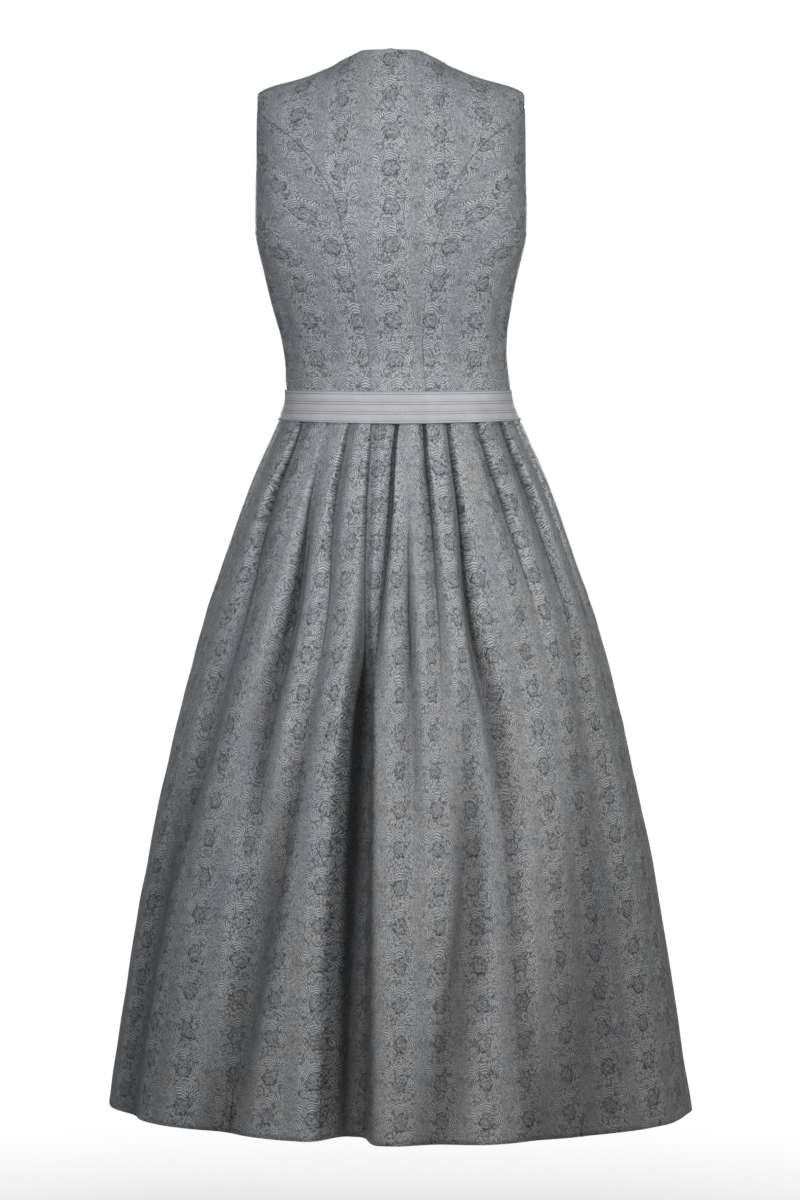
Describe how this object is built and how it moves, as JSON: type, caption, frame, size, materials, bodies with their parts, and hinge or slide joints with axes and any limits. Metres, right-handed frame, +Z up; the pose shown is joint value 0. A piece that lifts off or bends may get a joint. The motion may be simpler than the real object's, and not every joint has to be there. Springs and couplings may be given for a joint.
{
  "type": "dirndl",
  "caption": "Sleeveless midi dirndl, filled out as worn: panelled bodice with a high back, pleated skirt, and an apron tied at the waist with a ribbon and a bow.",
  "frame": {"origin": "between the shoulders, at the height where the middle of each shoulder strap bears on them", "axes": "+Z up; the wearer faces -Y; the wearer's left is +X"},
  "size_m": [0.6724, 0.5254, 1.2143],
  "materials": {
    "jacquard": "satin",
    "apron_cloth": "satin",
    "ribbon": "satin"
  },
  "bodies": {
    "root": {"bodice_back": "jacquard", "bodice_side_back_left": "jacquard", "bodice_side_back_right": "jacquard", "bodice_side_front_left": "jacquard", "bodice_side_front_right": "jacquard", "bodice_front_left": "jacquard", "bodice_front_right": "jacquard", "skirt_back": "jacquard", "skirt_front": "jacquard", "apron": "apron_cloth", "apron_ribbon": "ribbon", "bow_knot": "ribbon", "bow_loop_left": "ribbon", "bow_loop_right": "ribbon", "bow_tail_left": "ribbon", "bow_tail_right": "ribbon"}
  },
  "joints": []
}
